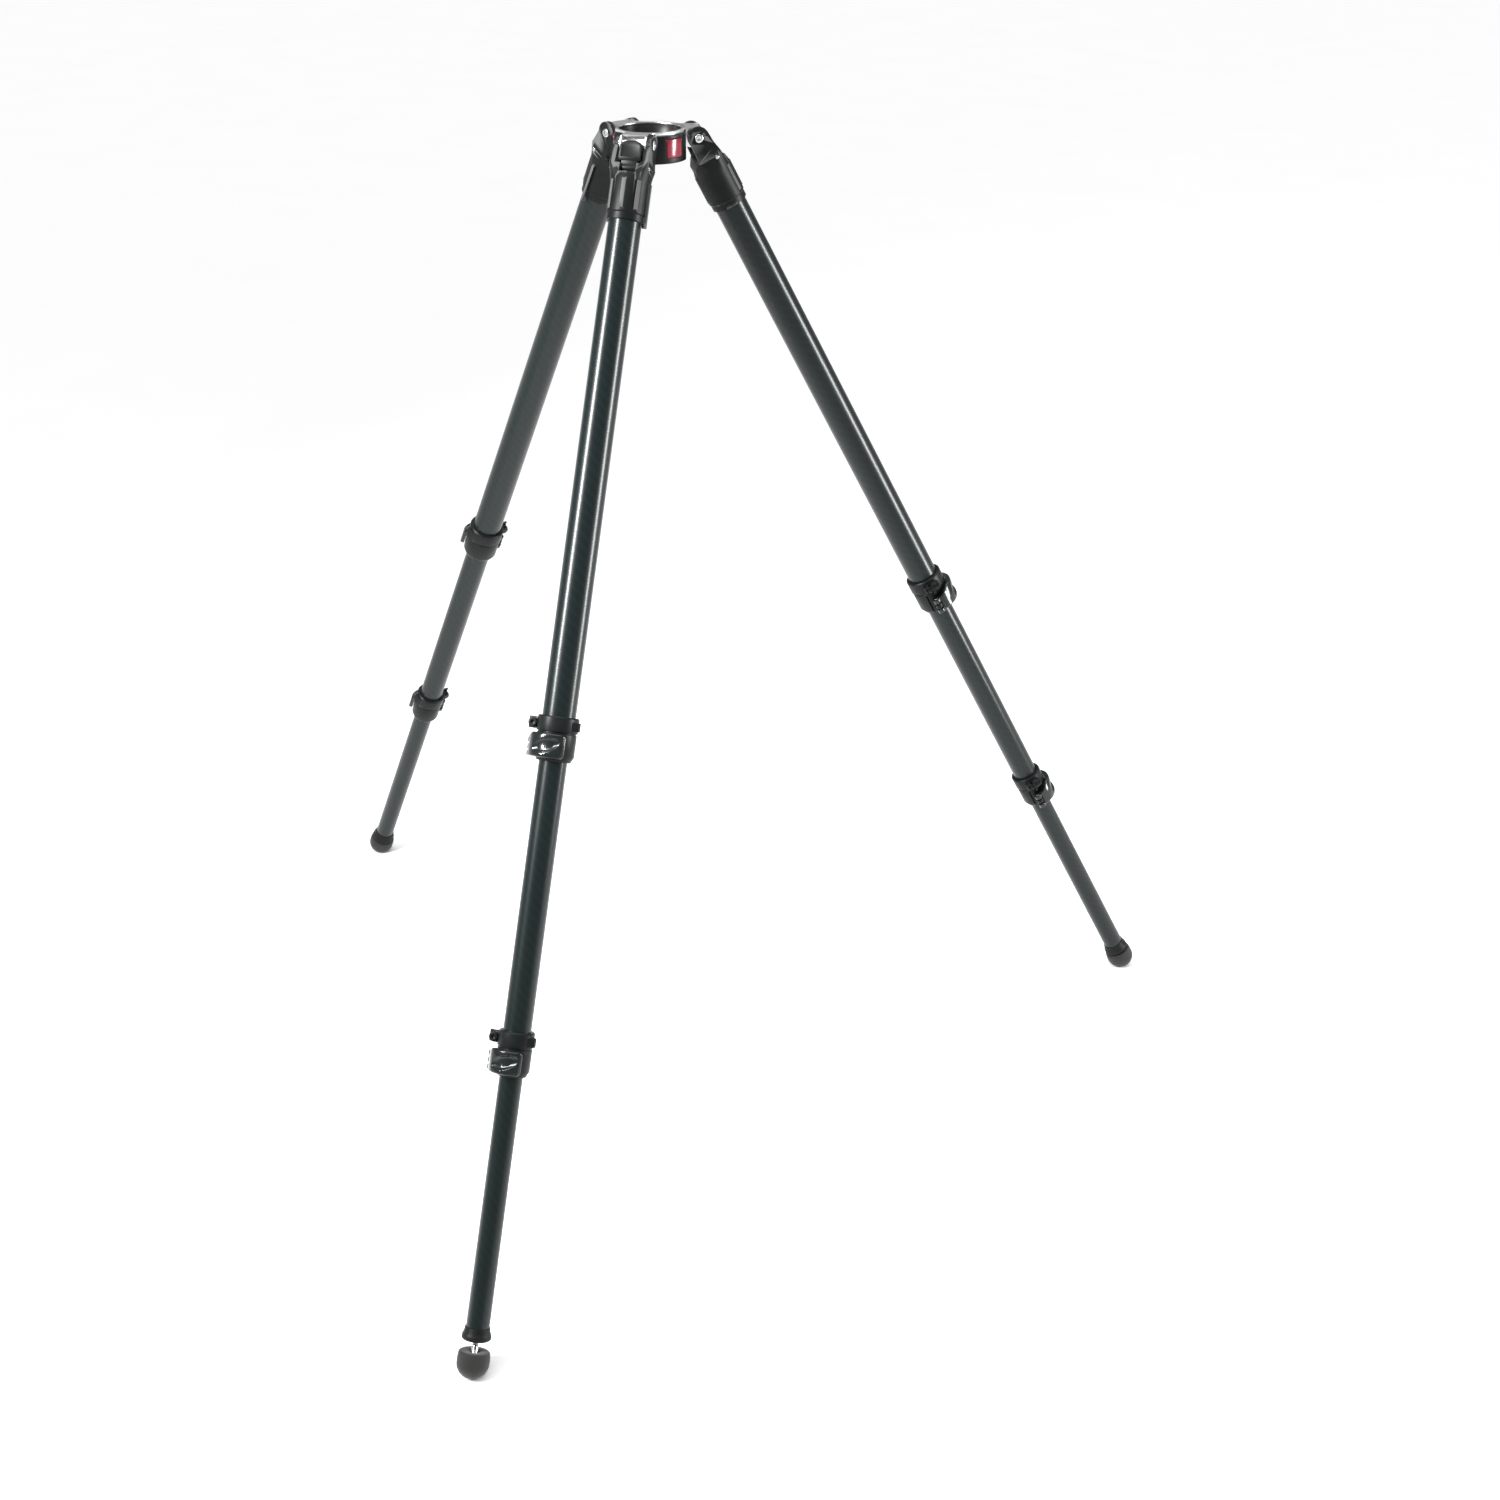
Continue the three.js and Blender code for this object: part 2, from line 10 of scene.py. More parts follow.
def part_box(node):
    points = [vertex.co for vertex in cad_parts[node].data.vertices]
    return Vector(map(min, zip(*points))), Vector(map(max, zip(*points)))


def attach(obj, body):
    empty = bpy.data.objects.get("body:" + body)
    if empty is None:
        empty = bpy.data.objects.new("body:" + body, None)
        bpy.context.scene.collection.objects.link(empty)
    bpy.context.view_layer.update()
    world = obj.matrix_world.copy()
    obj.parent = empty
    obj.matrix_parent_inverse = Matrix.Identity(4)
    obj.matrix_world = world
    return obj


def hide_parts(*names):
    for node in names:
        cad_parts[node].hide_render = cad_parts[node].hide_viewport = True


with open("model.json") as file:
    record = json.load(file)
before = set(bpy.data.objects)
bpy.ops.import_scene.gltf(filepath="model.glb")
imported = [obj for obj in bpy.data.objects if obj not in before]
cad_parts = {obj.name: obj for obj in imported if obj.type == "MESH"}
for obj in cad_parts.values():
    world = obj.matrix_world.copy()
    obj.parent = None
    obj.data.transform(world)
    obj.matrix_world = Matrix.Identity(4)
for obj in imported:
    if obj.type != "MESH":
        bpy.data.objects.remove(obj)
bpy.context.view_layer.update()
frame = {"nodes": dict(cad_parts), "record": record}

MM = 0.001
LEGS = ("front", "right", "left")
AZIMUTHS = {"front": -90, "right": 30, "left": 150}
NODES = frame["nodes"]
JOINTS = {j["name"]: j for j in frame["record"]["behaviour"]["joints"]}
radians = math.radians


# ---- the legs' own frames -------------------------------------------------------------------

def leg_matrix(leg):
    """Origin at the pivot, X outward, Z back up the leg, as the part's own leg frame."""
    hinge = JOINTS[f"{leg}_leg_spread"]
    up = -Vector(JOINTS[f"{leg}_middle_slide"]["axis"]).normalized()
    side = -Vector(hinge["axis"]).normalized()
    out = side.cross(up).normalized()
    matrix = Matrix((out, side, up)).transposed().to_4x4()
    matrix.translation = Vector(hinge["pos_m"])
    return matrix


LEG_FRAMES = {leg: leg_matrix(leg) for leg in LEGS}
PIVOTS = [Vector(JOINTS[f"{leg}_leg_spread"]["pos_m"]) for leg in LEGS]
PIVOT_CENTRE = sum(PIVOTS, Vector()) / len(LEGS)
PIVOT_R = (PIVOTS[0] - PIVOT_CENTRE).length / MM
CROWN_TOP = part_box("bowl_casting")[1].z
PIVOT_DROP = (CROWN_TOP - PIVOT_CENTRE.z) / MM
CROWN_FRAME = Matrix.Translation((PIVOT_CENTRE.x, PIVOT_CENTRE.y, CROWN_TOP))


# Driving sizes of the moving pieces, in millimetres, as the part has them
UPPER_R, MIDDLE_R, LOWER_R = 19.75, 16.75, 14.0
WALL = 1.3
BOWL_R, BOWL_HOLE_R = 37.5, 33.0
SKIRT_R = 43.5
BRIGHT_LIP = 2.2                # height of the bare metal at the top of the bowl; below it the seat is painted dark as shade
CROWN_H, PLATE_H = 36.0, 4.0
PRONG_OUT, PRONG_IN, PRONG_R, HUB_R = 16.6, 14.0, 12.0, 6.4
CHEEK_R, CHEEK_OUT = 13.0, 23.0
BRIDGE_TOP, SOCKET_R, SOCKET_END, TUBE_TOP = 26.0, 23.4, 92.0, 41.7
BOLT_R, BOLT_HEAD_R, BOLT_SEAT, CATCH_PIN_R = 4.0, 5.2, 21.0, 2.2
CATCH_OUT, CATCH_DOWN, CATCH_W = 9.0, 30.0, 27.0
LOCK_LENGTH, LOCK_SHOULDER = 53.0, 22.0
HINGE_ANGLE, LEVER_ANGLE = -95.0, 42.0
LEVER_TOP, LEVER_BOTTOM, KNUCKLE_TOP = -21.0, -49.5, -28.0
PIN_R = 1.9
FOOT_R, FOOT_FLAT, FOOT_CUP, SPINDLE_R = 19.5, 2.5, 13.5, 4.0
SWEEP = 120.0


def along(node, leg):
    """(bottom, top) of a CAD node, measured along its leg from the pivot."""
    inverse = LEG_FRAMES[leg].inverted()
    heights = [(inverse @ v.co).z / MM for v in NODES[node].data.vertices]
    return min(heights), max(heights)


FOOT_TOP = along("front_rubber_foot", "front")[1]
LEG_TILT = math.degrees(LEG_FRAMES["front"].to_3x3().col[2].angle(Vector((0, 0, 1))))


# ---- solids (all sizes in millimetres) --------------------------------------------------------

FINE = 96
MEDIUM = 48


def mesh_from(points, faces, name="solid"):
    bm = bmesh.new()
    verts = [bm.verts.new(Vector(p) * MM) for p in points]
    for face in faces:
        bm.faces.new([verts[i] for i in face])
    bmesh.ops.remove_doubles(bm, verts=bm.verts, dist=1e-7)
    bmesh.ops.recalc_face_normals(bm, faces=bm.faces)
    mesh = bpy.data.meshes.new(name)
    bm.to_mesh(mesh)
    bm.free()
    return mesh


def turned(profile, facets=FINE):
    """A body of revolution about Z from (radius, height) pairs. It closes on itself."""
    points, faces = [], []
    closed = profile[0][0] > 0
    for r, z in profile:
        for k in range(facets):
            angle = 2 * math.pi * k / facets
            points.append((r * math.cos(angle), r * math.sin(angle), z))
    rows = len(profile)
    for row in range(rows if closed else rows - 1):
        low, high = row * facets, (row + 1) % rows * facets
        for k in range(facets):
            after = (k + 1) % facets
            corners = [low + k, low + after, high + after, high + k]
            if profile[row][0] == 0:
                corners = [low, high + after, high + k]
            elif profile[(row + 1) % rows][0] == 0:
                corners = [low + k, low + after, high]
            faces.append(corners)
    used = sorted({i for f in faces for i in f})
    index = {old: new for new, old in enumerate(used)}
    return mesh_from([points[i] for i in used], [[index[i] for i in f] for f in faces])


def ring(r_in, r_out, z0, z1, facets=FINE):
    return turned([(r_in, z0), (r_out, z0), (r_out, z1), (r_in, z1)], facets)


def rod(r, z0, z1, facets=MEDIUM):
    return turned([(0, z0), (r, z0), (r, z1), (0, z1)], facets)


def moved(mesh, offset=(0, 0, 0), turn=0, axis="Z"):
    """Turns a mesh about an axis through the origin, then moves it."""
    matrix = Matrix.Translation(Vector(offset) * MM) @ Matrix.Rotation(radians(turn), 4, axis)
    mesh.transform(matrix)
    return mesh


def cross_rod(r, x, z, half, facets=MEDIUM):
    """A rod along Y through the point (x, z)."""
    return moved(rod(r, -half, half, facets), (x, 0, z), 90, "X")


def prism(outline, low, high, plane="XY"):
    """An outline pushed from low to high along the axis that its plane leaves out."""
    place = {"XY": lambda u, v, w: (u, v, w), "XZ": lambda u, v, w: (u, w, v),
             "YZ": lambda u, v, w: (w, u, v)}[plane]
    count = len(outline)
    points = [place(u, v, w) for w in (low, high) for u, v in outline]
    faces = [list(range(count)), list(range(count, 2 * count))]
    faces += [[k, (k + 1) % count, (k + 1) % count + count, k + count] for k in range(count)]
    return mesh_from(points, faces)


def block(x0, x1, y0, y1, z0, z1):
    return prism([(x0, y0), (x1, y0), (x1, y1), (x0, y1)], z0, z1)


def arc(cx, cy, r, start, end, steps):
    """Points along an arc, between two angles in degrees."""
    angles = [radians(start + (end - start) * k / steps) for k in range(steps + 1)]
    return [(cx + r * math.cos(a), cy + r * math.sin(a)) for a in angles]


def ellipse(cx, cy, rx, ry, start, end, steps):
    return [(cx + rx * x, cy + ry * y) for x, y in arc(0, 0, 1, start, end, steps)]


def sector(r_in, r_out, start, end, z0, z1, steps=48):
    outline = arc(0, 0, r_out, start, end, steps) + arc(0, 0, r_in, end, start, steps)
    return prism(outline, z0, z1)


def boolean(base, tools, operation):
    """The base mesh joined with, cut by or kept inside each tool mesh in turn."""
    holder = bpy.data.objects.new("holder", base)
    bpy.context.scene.collection.objects.link(holder)
    helpers = []
    for tool in tools:
        helper = bpy.data.objects.new("helper", tool)
        bpy.context.scene.collection.objects.link(helper)
        helpers.append(helper)
        modifier = holder.modifiers.new("cut", "BOOLEAN")
        modifier.operation = operation
        modifier.solver = "EXACT"
        modifier.object = helper
    bpy.context.view_layer.update()
    graph = bpy.context.evaluated_depsgraph_get()
    result = bpy.data.meshes.new_from_object(holder.evaluated_get(graph))
    for thing in [holder, *helpers]:
        bpy.data.objects.remove(thing)
    return result


def cut(base, *tools):
    return boolean(base, tools, "DIFFERENCE")


def join(base, *tools):
    return boolean(base, tools, "UNION")


def common(base, *tools):
    return boolean(base, tools, "INTERSECT")


def rounded(mesh, width=0.5, segments=2, angle=32):
    """The mesh with its hard edges rounded, and smooth shading between what stays sharp."""
    bm = bmesh.new()
    bm.from_mesh(mesh)
    bmesh.ops.remove_doubles(bm, verts=bm.verts, dist=1e-6)
    bmesh.ops.dissolve_degenerate(bm, dist=1e-6, edges=bm.edges)
    bmesh.ops.dissolve_limit(bm, angle_limit=radians(1), verts=bm.verts, edges=bm.edges)
    bm.to_mesh(mesh)
    bm.free()
    if width:
        holder = bpy.data.objects.new("holder", mesh)
        bpy.context.scene.collection.objects.link(holder)
        modifier = holder.modifiers.new("round", "BEVEL")
        modifier.width = width * MM
        modifier.segments = segments
        modifier.limit_method = "ANGLE"
        modifier.angle_limit = radians(angle)
        modifier.use_clamp_overlap = True
        modifier.miter_outer = "MITER_ARC"
        bpy.context.view_layer.update()
        graph = bpy.context.evaluated_depsgraph_get()
        mesh = bpy.data.meshes.new_from_object(holder.evaluated_get(graph))
        bpy.data.objects.remove(holder)
    mesh.shade_smooth()
    mesh.set_sharp_from_angle(angle=radians(angle + 6))
    return mesh


# ---- materials --------------------------------------------------------------------------------

class Finish:
    """A Principled material, and short ways to add its nodes."""

    def __init__(self, name, **sockets):
        self.material = bpy.data.materials.new(name)
        self.material.use_nodes = True
        self.tree = self.material.node_tree
        self.shader = self.tree.nodes["Principled BSDF"]
        for key, value in sockets.items():
            self.shader.inputs[key.replace("_", " ")].default_value = value
        self.place = self.add("ShaderNodeTexCoord").outputs["Object"]

    def add(self, kind, inputs=None, **settings):
        node = self.tree.nodes.new(kind)
        for key, value in settings.items():
            setattr(node, key, value)
        for key, value in (inputs or {}).items():
            self.feed(node.inputs[key], value)
        return node

    def feed(self, socket, value):
        if isinstance(value, bpy.types.NodeSocket):
            self.tree.links.new(value, socket)
        else:
            socket.default_value = value

    def math(self, operation, a, b=0.0):
        return self.add("ShaderNodeMath", {0: a, 1: b}, operation=operation).outputs[0]

    def noise(self, scale, detail=3.0, stretch=(1, 1, 1)):
        mapping = self.add("ShaderNodeMapping", {"Vector": self.place, "Scale": stretch})
        return self.add("ShaderNodeTexNoise", {"Vector": mapping.outputs[0], "Scale": scale,
                                               "Detail": detail}).outputs["Fac"]

    def span(self, fac, low, high):
        """fac from 0 to 1 becomes low to high."""
        node = self.add("ShaderNodeMapRange", {"Value": fac, "To Min": low, "To Max": high})
        return node.outputs["Result"]

    def blend(self, fac, a, b):
        node = self.add("ShaderNodeMix", data_type="RGBA")
        self.feed(node.inputs["Factor"], fac)
        self.feed(node.inputs["A"], a)
        self.feed(node.inputs["B"], b)
        return node.outputs["Result"]

    def bump(self, height, distance, strength=1.0, under=None):
        node = self.add("ShaderNodeBump", {"Height": height, "Distance": distance,
                                           "Strength": strength})
        if under:
            self.feed(node.inputs["Normal"], under)
        return node.outputs["Normal"]

    def edge_wear(self, threshold=0.54, width=0.05):
        """1 on convex edges, broken up by noise."""
        point = self.add("ShaderNodeNewGeometry").outputs["Pointiness"]
        ragged = self.math("ADD", point, self.span(self.noise(900), -0.02, 0.02))
        node = self.add("ShaderNodeMapRange", {"Value": ragged, "From Min": threshold,
                                               "From Max": threshold + width})
        return node.outputs["Result"]

    def use(self, **links):
        for key, value in links.items():
            self.feed(self.shader.inputs[key.replace("_", " ")], value)
        return self.material


def rgb(r, g, b):
    return (r, g, b, 1.0)


def carbon_fibre(tows=32):
    """A 2x2 twill under clear lacquer, wound round the tube's own axis."""
    f = Finish("carbon_fibre", Coat_Weight=0.4, Coat_Roughness=0.2, Specular_IOR_Level=0.14,
               Coat_IOR=1.4)
    xyz = f.add("ShaderNodeSeparateXYZ", {0: f.place})
    angle = f.math("ARCTAN2", xyz.outputs["Y"], xyz.outputs["X"])
    around = f.math("MULTIPLY", angle, tows / (2 * math.pi))
    tow = 3.2 * MM
    along = f.math("DIVIDE", xyz.outputs["Z"], tow)
    cell = f.math("ADD", f.math("FLOOR", around), f.math("FLOOR", along))
    over = f.math("LESS_THAN", f.math("FLOORED_MODULO", cell, 4.0), 2.0)
    across_warp = f.math("FRACT", around)
    across_weft = f.math("FRACT", along)
    crown_warp = f.math("SINE", f.math("MULTIPLY", across_warp, math.pi))
    crown_weft = f.math("SINE", f.math("MULTIPLY", across_weft, math.pi))
    fibres = f.noise(1400, 1.0, (1, 1, 0.05))
    height = f.add("ShaderNodeMix", data_type="FLOAT")
    f.feed(height.inputs["Factor"], over)
    f.feed(height.inputs["A"], crown_weft)
    f.feed(height.inputs["B"], crown_warp)
    lift = height.outputs["Result"]
    tone = f.blend(over, rgb(0.004, 0.0075, 0.0075), rgb(0.0055, 0.0095, 0.0095))
    tone = f.blend(f.span(fibres, 0.0, 0.3), tone, rgb(0.009, 0.014, 0.014))
    patches = f.span(f.noise(9, 2.0), 0.27, 0.37)
    normal = f.bump(lift, 0.00002, 0.25, f.bump(fibres, 0.00001, 0.25))
    lacquer = f.bump(f.noise(55, 2.0, (1, 1, 0.25)), 0.00005, 0.15)
    return f.use(Base_Color=tone, Roughness=patches, Normal=normal, Coat_Normal=lacquer)


def satin_aluminium():
    """Bead-blasted, clear-anodised casting."""
    f = Finish("satin_aluminium", Metallic=1.0)
    grain = f.noise(1500, 2.0)
    cloud = f.noise(45, 3.0)
    tone = f.blend(cloud, rgb(0.50, 0.51, 0.52), rgb(0.60, 0.61, 0.615))
    worn = f.edge_wear()
    tone = f.blend(worn, tone, rgb(0.86, 0.86, 0.86))
    return f.use(Base_Color=tone, Roughness=f.span(cloud, 0.24, 0.34),
                 Normal=f.bump(grain, 0.00003, 0.5))


def seat_painted_shade():
    """Painted shade: the bowl's metal seat coloured near-black where it lies in shadow; turned
    rings, dull, and scuffed paler by the ball.
    """
    f = Finish("seat_painted_shade", Metallic=0.6, Specular_IOR_Level=0.2)
    radius = f.add("ShaderNodeVectorMath", {0: f.place}, operation="LENGTH").outputs["Value"]
    rings = f.math("SINE", f.math("MULTIPLY", radius, 16000.0))
    scuffs = f.noise(70, 4.0, (1, 1, 3))
    # The near-black tone is painted shade over the seat's metal; the noise between the two tones is
    # scuffing.
    tone = f.blend(scuffs, rgb(0.012, 0.012, 0.013), rgb(0.035, 0.035, 0.036))
    return f.use(Base_Color=tone, Roughness=f.span(scuffs, 0.28, 0.45),
                 Normal=f.bump(rings, 0.00001, 0.4))


def black_paint(name="black_paint", low=0.34, high=0.5):
    """Fine-textured black paint on a casting, worn to metal on its sharpest edges."""
    f = Finish(name, Specular_IOR_Level=0.13)
    grain = f.noise(2200, 2.0)
    cloud = f.noise(60, 4.0)
    tone = f.blend(cloud, rgb(0.003, 0.004, 0.004), rgb(0.006, 0.007, 0.007))
    worn = f.edge_wear(0.57, 0.06)
    tone = f.blend(f.math("MULTIPLY", worn, 0.35), tone, rgb(0.25, 0.25, 0.25))
    return f.use(Base_Color=tone, Roughness=f.span(cloud, low, high),
                 Normal=f.bump(grain, 0.00004, 0.55))


def moulded(name, dark, light, low, high, grain_scale=1700, grain=0.00003):
    """Moulded plastic with a spark-eroded grain."""
    f = Finish(name, Specular_IOR_Level=0.13)
    cloud = f.noise(80, 3.0)
    tone = f.blend(cloud, dark, light)
    return f.use(Base_Color=tone, Roughness=f.span(cloud, low, high),
                 Normal=f.bump(f.noise(grain_scale, 2.0), grain, 0.5))


def glossy_moulding(name, dark, light):
    f = Finish(name, Specular_IOR_Level=0.2, Coat_Weight=0.6, Coat_Roughness=0.08, Coat_IOR=1.4)
    cloud = f.noise(120, 3.0)
    tone = f.blend(cloud, dark, light)
    return f.use(Base_Color=tone, Roughness=f.span(cloud, 0.16, 0.28),
                 Normal=f.bump(f.noise(300, 2.0), 0.00003, 0.25))


def bright_steel(name="bright_steel", lines=(1, 1, 1)):
    f = Finish(name, Metallic=1.0)
    cloud = f.noise(300, 3.0, lines)
    tone = f.blend(cloud, rgb(0.55, 0.55, 0.56), rgb(0.78, 0.78, 0.79))
    return f.use(Base_Color=tone, Roughness=f.span(cloud, 0.14, 0.3),
                 Normal=f.bump(f.noise(1500, 2.0, lines), 0.00002, 0.35))


def worn_rubber():
    """Black rubber: dull, faintly dusty where it stands."""
    f = Finish("worn_rubber", Specular_IOR_Level=0.3, Sheen_Weight=0.15, Sheen_Roughness=0.5)
    cloud = f.noise(120, 4.0)
    xyz = f.add("ShaderNodeSeparateXYZ", {0: f.place})
    tone = f.blend(cloud, rgb(0.006, 0.006, 0.006), rgb(0.016, 0.016, 0.015))
    ground = FOOT_CUP + FOOT_R - FOOT_FLAT
    dust = f.add("ShaderNodeMapRange", {"Value": xyz.outputs["Z"], "From Min": (9 - ground) * MM,
                                        "From Max": -ground * MM, "To Max": 0.25})
    tone = f.blend(f.math("MULTIPLY", dust.outputs["Result"], cloud), tone, rgb(0.12, 0.11, 0.1))
    return f.use(Base_Color=tone, Roughness=f.span(cloud, 0.62, 0.85),
                 Normal=f.bump(f.noise(1300, 3.0), 0.00006, 0.6))


# ---- pieces -----------------------------------------------------------------------------------

def piece(name, mesh, place, body, materials, replaced=()):
    mesh = mesh.copy() if mesh.users else mesh
    obj = bpy.data.objects.new(name, mesh)
    bpy.context.scene.collection.objects.link(obj)
    obj.matrix_world = place
    if not mesh.materials:
        for material in materials:
            mesh.materials.append(material)
    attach(obj, body)
    if replaced:
        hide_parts(*replaced)
    return obj


SILVER = satin_aluminium()
# The bowl's seat, painted near-black as shade.
SEAT = seat_painted_shade()
CASTING = black_paint()
CROWN_BLACK = black_paint("crown_paint", 0.3, 0.44)
CARBON = carbon_fibre()
LOCK = moulded("lock_plastic", rgb(0.004, 0.005, 0.005), rgb(0.010, 0.012, 0.012), 0.3, 0.45)
LEVER = glossy_moulding("lever_plastic", rgb(0.004, 0.006, 0.006), rgb(0.010, 0.013, 0.013))
CATCH = moulded("catch_plastic", rgb(0.004, 0.005, 0.005), rgb(0.010, 0.011, 0.011), 0.3, 0.42)
CAP = moulded("cap_plastic", rgb(0.004, 0.005, 0.005), rgb(0.010, 0.010, 0.010), 0.38, 0.52)
GLIDE = moulded("glide_plastic", rgb(0.05, 0.05, 0.05), rgb(0.09, 0.09, 0.09), 0.5, 0.65)
RED = glossy_moulding("red_moulding", rgb(0.15, 0.005, 0.016), rgb(0.23, 0.008, 0.025))
STEEL = bright_steel()
SPINDLE = bright_steel("spindle_steel", (1, 1, 6))
RUBBER = worn_rubber()


# ---- crown ------------------------------------------------------------------------------------

def quadratic(a, b, c, steps):
    points = []
    for k in range(1, steps + 1):
        t = k / steps
        points.append(tuple((1 - t) ** 2 * p + 2 * t * (1 - t) * q + t * t * r
                            for p, q, r in zip(a, b, c)))
    return points


def about(points, angle):
    c, s = math.cos(radians(angle)), math.sin(radians(angle))
    return [(c * x - s * y, s * x + c * y) for x, y in points]


def star_outline():
    """Three arms with eased corners, and shallow webs between them."""
    end, root, web, ease = PIVOT_R + 7, 40, 42, 1.5
    points = []
    for azimuth in sorted(AZIMUTHS.values()):
        arm = [(root, -PRONG_OUT)] + arc(end - ease, -PRONG_OUT + ease, ease, -90, 0, 4)
        arm += arc(end - ease, PRONG_OUT - ease, ease, 0, 90, 4) + [(root, PRONG_OUT)]
        middle = about([(web, 0)], SWEEP / 2)[0]
        leave = (root - 3, PRONG_OUT + 2)
        arrive = about([(root - 3, -PRONG_OUT - 2)], SWEEP)[0]
        following = about([(root, -PRONG_OUT)], SWEEP)[0]
        arm += quadratic((root, PRONG_OUT), leave, middle, 10)
        arm += quadratic(middle, arrive, following, 10)[:-1]
        points += about(arm, azimuth)
    return points


def arm_prongs():
    root = BOWL_R + 1
    outline = [(root, -1), (root, 2 - PIVOT_DROP - PRONG_R),
               (PIVOT_R - 4, 0.7 - PIVOT_DROP - PRONG_R)]
    outline += arc(PIVOT_R, -PIVOT_DROP, PRONG_R, -100, 35, 28) + [(PIVOT_R + 6.6, -1)]
    pair = cut(prism(outline, -PRONG_OUT, PRONG_OUT, "XZ"),
               block(root + 6, PIVOT_R + 20, -PRONG_IN, PRONG_IN, -CROWN_H - 2, 1))
    web = [(root, -1), (root, -PIVOT_DROP - 5), (PIVOT_R, -PIVOT_DROP - HUB_R)]
    web += arc(PIVOT_R, -PIVOT_DROP, HUB_R, -90, 33, 24) + [(PIVOT_R - 10, -1)]
    return cut(join(pair, prism(web, -PRONG_IN - 1, PRONG_IN + 1, "XZ")),
               cross_rod(BOLT_R + 0.3, PIVOT_R, -PIVOT_DROP, PRONG_OUT + 2))


def arm_notch():
    """Room between the prongs for the catch."""
    slope, reach = radians(78), 22
    edge = (PIVOT_R + HUB_R * math.cos(slope), -PIVOT_DROP + HUB_R * math.sin(slope))
    top = (edge[0] + reach * math.cos(slope), edge[1] + reach * math.sin(slope))
    far = PIVOT_R + 20
    room = [edge, (PIVOT_R, -PIVOT_DROP), (far, -PIVOT_DROP - 10), (far, top[1]), top]
    return cut(prism(room, -PRONG_IN - 0.05, PRONG_IN + 0.05, "XZ"),
               cross_rod(HUB_R, PIVOT_R, -PIVOT_DROP, PRONG_IN + 1))


def bowl_mesh():
    floor = CROWN_H - 4.3
    body = join(prism(star_outline(), -PLATE_H, 0), rod(BOWL_R + 2, -floor, -PLATE_H + 1, FINE))
    for azimuth in AZIMUTHS.values():
        body = join(body, moved(arm_prongs(), turn=azimuth))
        body = cut(body, moved(arm_notch(), turn=azimuth))
    low = math.degrees(math.acos(BOWL_HOLE_R / BOWL_R))
    seat = [(0, -floor - 1), (BOWL_HOLE_R, -floor - 1)]
    seat += [(x, -y) for x, y in arc(0, 0, BOWL_R, low, 1.5, 16)]
    seat += [(BOWL_R + 0.9, 0.4), (0, 0.4)]
    body = rounded(cut(body, turned(seat, 144)), 0.8, 3)
    # Faces inside the bowl, below the bright lip, take the seat's painted shade.
    for face in body.polygons:
        centre = face.center
        in_bowl = centre.length < (BOWL_R + 0.7) * MM and centre.xy.length < (BOWL_R + 0.5) * MM
        below_lip = centre.z < -BRIGHT_LIP * MM
        if in_bowl and below_lip and face.normal.dot(-centre) > 0:
            face.material_index = 1
    return body


def shell_mesh():
    wall_in, wall_out = BOWL_R + 2.3, SKIRT_R
    body = join(ring(BOWL_HOLE_R + 0.5, wall_in + 1, -CROWN_H, -CROWN_H + 4),
                ring(wall_in, wall_out, -CROWN_H, -PLATE_H - 0.3))
    for azimuth in AZIMUTHS.values():
        room = block(BOWL_R + 0.7, wall_out + 5, -PRONG_OUT - 0.3, PRONG_OUT + 0.3, -CROWN_H - 1, 1)
        pocket = sector(wall_out - 1.6, wall_out + 5, -15.5, 15.5, -CROWN_H + 6, -PLATE_H - 4)
        body = cut(body, moved(room, turn=azimuth), moved(pocket, turn=azimuth + SWEEP / 2))
    return rounded(body, 0.8, 3)


def insert_mesh():
    half = 14.9
    body = sector(SKIRT_R - 1.3, SKIRT_R + 0.8, -half, half, -CROWN_H + 6.4, -PLATE_H - 4.4, 32)
    return rounded(body, 0.7, 3)


# ---- leg top ----------------------------------------------------------------------------------

